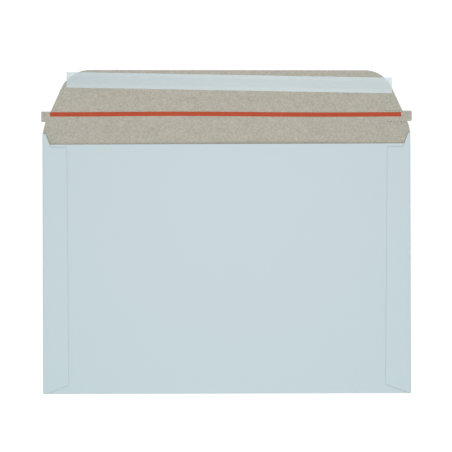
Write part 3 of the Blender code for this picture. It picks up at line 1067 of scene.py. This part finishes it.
def perforation_knives(layout):
    """The slits' cutter: two rows beside the right tab, and faint marks above the left one."""
    strip = layout.tear_strip
    flap = layout.closure_flap
    upper_x = layout.flap_side(layout.tab_top, 1) - strip.upper_edge
    lower_x = layout.half_width - flap.neck_inset - strip.lower_edge
    faint_x = strip.faint_edge - layout.flap_side(layout.tab_top, -1)
    upper_y = layout.crease + layout.tab_top
    lower_y = layout.crease + flap.tab_foot
    tip = -layout.board / 6
    values = {
        "Length": strip.slit_length,
        "Width": strip.slit_width,
        "Depth": 1.5 * layout.board,
        "Jitter": strip.slit_width / 3,
        "Upper start": (upper_x, upper_y + strip.tab_offset, tip),
        "Upper step": (-strip.upper_pitch, 0.0, 0.0),
        "Upper count": strip.upper_slits,
        "Lower start": (lower_x, lower_y - strip.tab_offset, tip),
        "Lower step": (-strip.lower_pitch, 0.0, 0.0),
        "Lower count": strip.lower_slits,
        "Faint start": (faint_x, upper_y, layout.board / 2),
        "Faint step": (strip.faint_pitch, 0.0, 0.0),
        "Faint count": strip.faint_slits,
        "Seed": 3,
        "Material": slit_wall(),
    }
    return grown_piece("perforation_knives", perforation_tree(), values)


def board_materials():
    """The board's materials, in the order of LINED, GREY, EDGE and WALL."""
    return [lined_face(), grey_face(), cut_edge(), slit_wall()]


def cut_perforations(sheet, layout):
    """Cuts the slits through the flat blank and returns the new sheet, with its rim marked."""
    mesh = bpy.data.meshes.new("flat_blank")
    sheet.to_mesh(mesh)
    sheet.free()
    blank = add_piece("flat_blank", mesh, board_materials())
    knives = perforation_knives(layout)
    cut = blank.modifiers.new("Tear perforations", "BOOLEAN")
    cut.operation = "DIFFERENCE"
    cut.solver = "EXACT"
    cut.material_mode = "INDEX"
    cut.object = knives
    pierced = evaluated_mesh(blank, "pierced_blank")
    drop_piece(blank)
    drop_piece(knives)
    sheet = bmesh.new()
    sheet.from_mesh(pierced)
    bpy.data.meshes.remove(pierced)
    mark = sheet.verts.layers.float.new("rim")
    for face in sheet.faces:
        if face.material_index == EDGE:
            for vertex in face.verts:
                vertex[mark] = 1.0
        elif SLIT_SLOPE[0] < abs(face.normal.z) < SLIT_SLOPE[1]:
            face.material_index = WALL
    return sheet


def score(sheet, direction, lines, near=None):
    """Scores the sheet along parallel lines, without parting it. Near limits it to close faces."""
    axis = Vector(direction)
    for line in lines:
        faces = list(sheet.faces)
        if near is not None:
            faces = [f for f in faces if abs(f.calc_center_median().dot(axis) - line) < near]
        edges = {edge for face in faces for edge in face.edges}
        corners = {vertex for face in faces for vertex in face.verts}
        bmesh.ops.bisect_plane(sheet, geom=[*faces, *edges, *corners], dist=1e-7,
                               plane_co=axis * line, plane_no=axis)


def evenly(start, end):
    """Places between two ends, no further apart than a cell, without the ends."""
    steps = max(1, ceil(abs(end - start) / CELL))
    return [start + (end - start) * step / steps for step in range(1, steps)]


def score_lines(layout):
    """All lines along which the blank is divided: (across, along)."""
    steps = range(SIDE_STEPS + 1)
    folded = [layout.side_fold + layout.side_length * step / SIDE_STEPS for step in steps]
    outer = evenly(folded[-1], layout.flat_x(SIDE_FLAP_REACH))
    across = [0.0, *evenly(0.0, layout.side_fold), *folded, *outer]
    across += [-x for x in across[1:]]
    steps = range(FOOT_STEPS + 1)
    foot = [layout.foot_fold - layout.foot_length * step / FOOT_STEPS for step in steps]
    panel = evenly(foot[-1], layout.flat_y(layout.mouth))
    flap = layout.closure_flap
    back = evenly(layout.foot_fold, layout.crease - flap.bend_half)
    front = evenly(layout.crease + flap.bend_half, layout.crease + flap.depth)
    return across, panel + foot + back + front


def crease_lines(layout):
    """Fine lines over the creased band and its bead, where the flap bends."""
    bend = layout.closure_flap.bend_half
    steps = range(-CREASE_STEPS, CREASE_STEPS + BEAD_STEPS + 1)
    return [layout.crease + bend * step / CREASE_STEPS for step in steps]


def rolled(beyond, length, fold_radius, depth):
    """How far out of a fold and how high a point gets, this far beyond the fold's start."""
    radius = fold_radius - depth
    if beyond <= length:
        turn = pi * beyond / length
        return radius * sin(turn), fold_radius - radius * cos(turn)
    return -(beyond - length), fold_radius + radius


def fold_side(point, layout):
    """Carries a point of the blank round a side fold and on over the pocket."""
    side = 1 if point.x > 0 else -1
    beyond = abs(point.x) - layout.side_fold
    out, z = rolled(beyond, layout.side_length, layout.side_radius, point.z)
    x = side * (layout.side_fold + out)
    if beyond <= layout.side_length:
        return Vector((x, point.y, z))
    z = z - layout.settling(x, point.y) - layout.edge_press(x, point.y)
    if side > 0:
        z -= layout.foot_dent(x, point.y)
    drawn = layout.toe_draw(x, point.y) * (1.0 - point.z / layout.board)
    return Vector((x, point.y + drawn, z))


def fold_foot(point, layout):
    """Carries a point of the blank round the foot fold and up the seam panel."""
    lean = layout.pocket.mouth_lean
    inside = point.y - layout.flat_y(layout.mouth_line(point.x))
    drawn = lean * max(0.0, 1.0 - inside / (LEAN_SPREAD * lean)) * (1.0 - point.z / layout.board)
    beyond = layout.foot_fold - point.y - drawn
    out, z = rolled(beyond, layout.foot_length, layout.foot_radius, point.z)
    y = layout.foot_fold - out
    if beyond > layout.foot_length:
        z = z + layout.mouth_bow(point.x, y) - layout.settling(point.x, y)
    return Vector((point.x, y, z))


def shape_flap(point, layout):
    """Lifts a point of the closure flap, and raises the bead along the crease."""
    flap = layout.closure_flap
    offset = (point.y - layout.crease - flap.bead_rise) / flap.bead_spread
    depth = point.z / layout.board
    bead = flap.bead_height * exp(-offset * offset) * (OUTER_BEAD + (1.0 - OUTER_BEAD) * depth)
    return Vector((point.x, point.y, point.z + layout.flap_rise(point.x, point.y) + bead))


def fold_share(point, layout, on_flap):
    """How near a point of the blank is to the outermost line of its fold, from 0 to 1."""
    flap = layout.closure_flap
    crease = 0.5 + (point.y - layout.crease - flap.bead_rise) / (4 * flap.bead_spread)
    shares = [crease, (layout.foot_fold - point.y) / layout.foot_length]
    if not on_flap:
        shares.append((abs(point.x) - layout.side_fold) / layout.side_length)
    return max(sin(pi * clamp(value)) for value in shares)


def fold_blank(sheet, layout):
    """Folds the flat sheet, and keeps each point's place on the blank as an attribute."""
    blank = sheet.verts.layers.float_vector.new("blank")
    fold = sheet.verts.layers.float.new("fold")
    flap_start = layout.crease - layout.side_flaps.root_drop / 2
    for vertex in sheet.verts:
        point = vertex.co.copy()
        vertex[blank] = point
        vertex[fold] = fold_share(point, layout, point.y > flap_start)
        if abs(point.x) > layout.side_fold and point.y < flap_start:
            vertex.co = fold_side(point, layout)
        elif point.y < layout.foot_fold:
            vertex.co = fold_foot(point, layout)
        elif point.y > layout.crease - 3 * layout.closure_flap.bead_spread:
            vertex.co = shape_flap(point, layout)


def build_board(layout):
    """The folded board with its perforations, and fine lines over the crease where the flap would bend."""
    sheet = cut_perforations(flat_blank(layout), layout)
    across, along = score_lines(layout)
    score(sheet, (1, 0, 0), across)
    score(sheet, (0, 1, 0), along)
    score(sheet, (0, 1, 0), crease_lines(layout), near=CELL)
    fold_blank(sheet, layout)
    mesh = bpy.data.meshes.new("folded_board")
    sheet.to_mesh(mesh)
    sheet.free()
    finish_mesh(mesh, BOARD_CRISP)
    board = add_piece("folded_board", mesh, board_materials())
    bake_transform(board)
    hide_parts("pocket_board", "closure_flap")


# Strips on the flap

def resampled_line(tree, start, end, count):
    """A straight curve of this many points."""
    line = take(tree, "GeometryNodeCurvePrimitiveLine", Start=start, End=end)
    return take(tree, "GeometryNodeResampleCurve", Curve=line, Count=count, mode="COUNT")


def oblong(tree, width, height):
    """A rectangular section."""
    return take(tree, "GeometryNodeCurvePrimitiveQuadrilateral", Width=width, Height=height,
                mode="RECTANGLE")


def swept(tree, curve, section):
    """A closed solid of this section along a curve, without a twist."""
    upright = take(tree, "GeometryNodeSetCurveNormal", Curve=curve, mode="Z_UP")
    return take(tree, "GeometryNodeCurveToMesh", Curve=upright, Profile_Curve=section,
                Fill_Caps=True)


@cache
def strip_tree():
    """A thin strip swept along a slightly wandering line across the flap."""
    floats = ("Left", "Right", "Middle X", "Middle Y", "Height", "Width", "Thickness", "Wander",
              "Wavelength", "Phase", "Skew", "Edge radius")
    tree, given, result = shape_tree("Laid strip", {**dict.fromkeys(floats, 0.0), "Stations": 49})
    left, right = (xyz(tree, given[name]) for name in ("Left", "Right"))
    path = resampled_line(tree, left, right, given["Stations"])
    along = split_xyz(tree, take(tree, "GeometryNodeInputPosition"))[0]
    turn = multiply(tree, calculate(tree, "DIVIDE", along, given["Wavelength"]), 2 * pi)
    wave = calculate(tree, "SINE", calculate(tree, "ADD", turn, given["Phase"]))
    aside = multiply(tree, wave, multiply(tree, given["Wander"], -1.0))
    drift = xyz(tree, 0.0, aside)
    wandering = take(tree, "GeometryNodeSetPosition", Geometry=path, Offset=drift)
    section = oblong(tree, given["Width"], given["Thickness"])
    rounded = take(tree, "GeometryNodeFilletCurve", Curve=section, Radius=given["Edge radius"],
                   Limit_Radius=True, Count=2, mode="POLY")
    strip = swept(tree, wandering, rounded)
    spot = xyz(tree, given["Middle X"], given["Middle Y"], given["Height"])
    spin = xyz(tree, 0.0, 0.0, given["Skew"])
    laid = take(tree, "GeometryNodeTransform", Geometry=strip, Translation=spot, Rotation=spin)
    return close_shape(tree, given, result, laid)


def lay_strip(layout, node, values):
    """A strip on the flap that stands for a node of the frame and keeps its layer."""
    low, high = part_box(node)
    settings = {
        "Height": (low.z + high.z) / 2,
        "Thickness": high.z - low.z,
        "Wander": 0.0,
        "Wavelength": 2 * layout.half_width,
        "Phase": 0.0,
        "Skew": 0.0,
        "Stations": 61,
        "Edge radius": 0.4 * (high.z - low.z),
        **values,
    }
    strip = grown_piece("laid_" + node, strip_tree(), settings)
    for vertex in strip.data.vertices:
        vertex.co.z += layout.flap_rise(vertex.co.x, vertex.co.y)
    finish_mesh(strip.data, STRIP_CRISP)
    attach(strip, "flap")
    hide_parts(node)
    return strip


def build_tape(layout):
    """The red tear tape between the two tabs."""
    strip = layout.tear_strip
    values = {
        "Left": -layout.tab_half + strip.left_margin,
        "Right": layout.tab_half - strip.right_margin,
        "Middle X": 0.0,
        "Middle Y": layout.crease + layout.tab_top - strip.tab_drop,
        "Width": strip.tape_width,
        "Wander": strip.wander,
        "Wavelength": strip.wavelength,
        "Phase": strip.phase,
        "Skew": strip.tape_skew,
        "Stations": 121,
        "Material": tear_film(),
    }
    lay_strip(layout, "tear_tape", values)


def seal_line(layout):
    """The shared centre line of the adhesive and its liner."""
    seal = layout.seal
    return {
        "Middle X": (seal.left_margin - seal.right_margin) / 2,
        "Middle Y": layout.crease + layout.closure_flap.depth - seal.top_margin,
        "Skew": seal.skew,
    }


def build_adhesive(layout):
    """The adhesive strip under the liner."""
    seal = layout.seal
    line = seal_line(layout)
    reach = layout.half_width - seal.side_margin
    values = {
        **line,
        "Left": -reach - line["Middle X"],
        "Right": reach - line["Middle X"],
        "Width": seal.adhesive_width,
        "Material": adhesive_gum(),
    }
    lay_strip(layout, "seal_adhesive", values)


def build_liner(layout):
    """The release liner, whose free ends stand up a little beyond the adhesive."""
    seal = layout.seal
    half = layout.half_width - (seal.left_margin + seal.right_margin) / 2
    values = {
        **seal_line(layout),
        "Left": -half,
        "Right": half,
        "Width": seal.liner_width,
        "Stations": 121,
        "Material": liner_paper(),
    }
    liner = lay_strip(layout, "release_liner", values)
    reach = layout.half_width - seal.side_margin
    for vertex in liner.data.vertices:
        beyond = max(0.0, abs(vertex.co.x) - reach) / (layout.half_width - reach)
        vertex.co.z += seal.end_lift * beyond * beyond


# Seam glue

@cache
def glue_tree():
    """Beads of glue side by side along a seam, squeezed to an uneven width."""
    floats = ("Length", "Pitch", "Bead width", "Thickness", "Unevenness")
    inputs = {**dict.fromkeys(floats, 0.001), "Centre": "Vector", "Beads": 4, "Seed": 1.0}
    tree, given, result = shape_tree("Glue beads", inputs)
    pitch = given["Pitch"]
    half = multiply(tree, given["Length"], 0.5)
    low, high = (xyz(tree, 0.0, end) for end in (multiply(tree, half, -1.0), half))
    bead = resampled_line(tree, low, high, 90)
    spread = multiply(tree, pitch, calculate(tree, "MULTIPLY_ADD", given["Beads"], -0.5, 0.5))
    row = take(tree, "GeometryNodeMeshLine", Count=given["Beads"],
               Start_Location=xyz(tree, spread), Offset=xyz(tree, pitch), mode="OFFSET")
    copies = take(tree, "GeometryNodeInstanceOnPoints", Points=row, Instance=bead)
    curves = take(tree, "GeometryNodeRealizeInstances", copies)
    solid = swept(tree, curves, oblong(tree, given["Bead width"], given["Thickness"]))
    where = take(tree, "GeometryNodeInputPosition")
    uneven = place(tree, "ShaderNodeTexNoise", Vector=where, W=given["Seed"], Scale=95.0,
                   Detail=2.0, noise_dimensions="4D")["Fac"]
    swing = multiply(tree, calculate(tree, "SUBTRACT", uneven, 0.5), given["Unevenness"])
    width = calculate(tree, "ADD", 1.0, swing)
    x, y, z = split_xyz(tree, where)
    place_in_row = calculate(tree, "DIVIDE", calculate(tree, "SUBTRACT", x, spread), pitch)
    column = calculate(tree, "ROUND", place_in_row)
    axis = calculate(tree, "MULTIPLY_ADD", column, pitch, spread)
    aside = calculate(tree, "MULTIPLY_ADD", calculate(tree, "SUBTRACT", x, axis), width, axis)
    spot = xyz(tree, aside, y, z)
    pressed = take(tree, "GeometryNodeSetPosition", Geometry=solid, Position=spot)
    laid = take(tree, "GeometryNodeTransform", Geometry=pressed, Translation=given["Centre"])
    return close_shape(tree, given, result, laid)


def build_glue(layout, node, seed):
    """The glue between one side flap and the seam panel, in the frame's own glue line."""
    glue = layout.glue
    low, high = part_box(node)
    pitch = (high.x - low.x) / glue.beads
    values = {
        "Length": high.y - low.y,
        "Pitch": pitch,
        "Bead width": pitch * glue.bead_fill,
        "Thickness": high.z - low.z,
        "Unevenness": 0.5,
        "Centre": tuple((low + high) / 2),
        "Beads": glue.beads,
        "Seed": seed,
        "Material": dried_glue(),
    }
    beads = grown_piece("beads_" + node, glue_tree(), values)
    for vertex in beads.data.vertices:
        vertex.co.z -= layout.settling(vertex.co.x, vertex.co.y)
    finish_mesh(beads.data, GLUE_CRISP)
    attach(beads, "pocket")
    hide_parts(node)


# Stage

def seen_directly(tree):
    """Whether the camera sees the surface straight, in gloss or through something clear."""
    rays = tree.nodes.new("ShaderNodeLightPath").outputs
    mirrored = calculate(tree, "MAXIMUM", rays["Is Glossy Ray"], rays["Is Transmission Ray"])
    return calculate(tree, "MAXIMUM", rays["Is Camera Ray"], mirrored)


def mix_shaders(tree, factor, first, second, output):
    """Mixes two shaders into an output node of this kind, in an otherwise finished tree."""
    place(tree, output, Surface=take(tree, "ShaderNodeMixShader", factor, first, second))
    arrange(tree)


def build_floor():
    """A plain white floor that the camera sees white and that keeps the envelope's shadow."""
    mesh = bpy.data.meshes.new("floor")
    turns = ((-1, -1), (1, -1), (1, 1), (-1, 1))
    corners = [(FLOOR_HALF * x, FLOOR_HALF * y, FLOOR_LEVEL) for x, y in turns]
    mesh.from_pydata(corners, [], [(0, 1, 2, 3)])
    material = bpy.data.materials.new("Floor")
    material.use_nodes = True
    tree = material.node_tree
    tree.nodes.clear()
    paint = take(tree, "ShaderNodeBsdfDiffuse", Color=(0.80, 0.80, 0.80, 1.0))
    glow = take(tree, "ShaderNodeEmission", Color=(*WHITE, 1.0), Strength=1.2)
    factor = multiply(tree, seen_directly(tree), FLOOR_GLOW)
    mix_shaders(tree, factor, paint, glow, "ShaderNodeOutputMaterial")
    add_piece("floor", mesh, [material])


def add_lamp(name, spot, size, watts, tint, tilt=0):
    """A soft lamp that the camera doesn't see: it shines down, or tilted from the foot side."""
    lamp = bpy.data.lights.new(name, "AREA")
    lamp.energy = watts
    lamp.color = tint
    lamp.size = size
    holder = add_object(name, lamp)
    holder.location = spot
    holder.rotation_euler = (radians(tilt), 0.0, 0.0)
    holder.visible_camera = False


def build_lights(settings):
    """An even dome, a high lamp, a nearer, warmer one and a low one beyond the foot."""
    world = bpy.data.worlds.new("Studio")
    bpy.context.scene.world = world
    world.use_nodes = True
    tree = world.node_tree
    tree.nodes.clear()
    tint = (*settings.dome_colour, 1.0)
    dome = take(tree, "ShaderNodeBackground", Color=tint, Strength=settings.dome_strength)
    white = take(tree, "ShaderNodeBackground", Color=(*WHITE, 1.0), Strength=1.0)
    mix_shaders(tree, seen_directly(tree), dome, white, "ShaderNodeOutputWorld")
    add_lamp("key_lamp", (0.0, 0.08, 1.7), 0.60, settings.key_power, settings.key_colour)
    add_lamp("near_lamp", (0.01, 0.06, 0.50), 0.35, settings.near_power, settings.near_colour)
    add_lamp("low_lamp", (0.0, -2.55, 1.6), 0.60, settings.low_power, WHITE, 58)


def build_camera(settings):
    """The camera straight above, turned as the envelope lies in the picture."""
    camera = bpy.data.cameras.new("camera")
    camera.sensor_width = SENSOR
    camera.lens = SENSOR * settings.camera_height / settings.view_width
    camera.clip_end = 20.0
    holder = add_object("camera", camera)
    holder.location = (settings.view_x, settings.view_y, settings.camera_height)
    holder.rotation_euler = (0.0, 0.0, settings.view_turn)
    bpy.context.scene.camera = holder


# Operators

class ENVELOPE_OT_board(Operator):
    """Makes the folded board of the pocket and the closure flap."""

    bl_idname = "envelope.board"
    bl_label = "Folded board"

    def execute(self, context):
        build_board(Layout(context.scene.board_envelope))
        return {"FINISHED"}


class ENVELOPE_OT_tear_tape(Operator):
    """Lays the red tear tape across the flap."""

    bl_idname = "envelope.tear_tape"
    bl_label = "Tear tape"

    def execute(self, context):
        build_tape(Layout(context.scene.board_envelope))
        return {"FINISHED"}


class ENVELOPE_OT_seal(Operator):
    """Lays the adhesive strip and its release liner on the flap."""

    bl_idname = "envelope.seal"
    bl_label = "Adhesive and liner"

    def execute(self, context):
        layout = Layout(context.scene.board_envelope)
        build_adhesive(layout)
        build_liner(layout)
        return {"FINISHED"}


class ENVELOPE_OT_seam_glue(Operator):
    """Lays the glue beads under both side flaps."""

    bl_idname = "envelope.seam_glue"
    bl_label = "Seam glue"

    def execute(self, context):
        layout = Layout(context.scene.board_envelope)
        build_glue(layout, "left_seam_glue", 1.0)
        build_glue(layout, "right_seam_glue", 5.0)
        return {"FINISHED"}


class ENVELOPE_OT_stage(Operator):
    """Sets up the floor, the light and the camera."""

    bl_idname = "envelope.stage"
    bl_label = "Floor, light and camera"

    def execute(self, context):
        settings = context.scene.board_envelope.stage
        context.scene.view_settings.view_transform = "Standard"
        build_floor()
        build_lights(settings)
        build_camera(settings)
        return {"FINISHED"}


OPERATORS = (
    ENVELOPE_OT_board,
    ENVELOPE_OT_tear_tape,
    ENVELOPE_OT_seal,
    ENVELOPE_OT_seam_glue,
    ENVELOPE_OT_stage,
)


class ENVELOPE_PT_pieces(Panel):
    """Lists the envelope's pieces and settings."""

    bl_idname = "ENVELOPE_PT_pieces"
    bl_label = "Board envelope"
    bl_space_type = "VIEW_3D"
    bl_region_type = "UI"
    bl_category = "Envelope"

    def draw(self, context):
        for operator in OPERATORS:
            self.layout.operator(operator.bl_idname)
        for name in GROUPS:
            box = self.layout.box()
            box.label(text=name.replace("_", " ").capitalize())
            settings = getattr(context.scene.board_envelope, name)
            for label in settings.__annotations__:
                box.prop(settings, label)


CLASSES = (
    PocketSizes,
    SideFlapSizes,
    ClosureFlapSizes,
    TearStripSizes,
    SealSizes,
    GlueSizes,
    Finishes,
    StageSettings,
    EnvelopeSettings,
    *OPERATORS,
    ENVELOPE_PT_pieces,
)


def register():
    for item in CLASSES:
        bpy.utils.register_class(item)
    bpy.types.Scene.board_envelope = PointerProperty(type=EnvelopeSettings)


def unregister():
    del bpy.types.Scene.board_envelope
    for item in reversed(CLASSES):
        bpy.utils.unregister_class(item)


def main():
    register()
    bpy.ops.envelope.board()
    bpy.ops.envelope.tear_tape()
    bpy.ops.envelope.seal()
    bpy.ops.envelope.seam_glue()
    bpy.ops.envelope.stage()


if __name__ == "__main__":
    main()
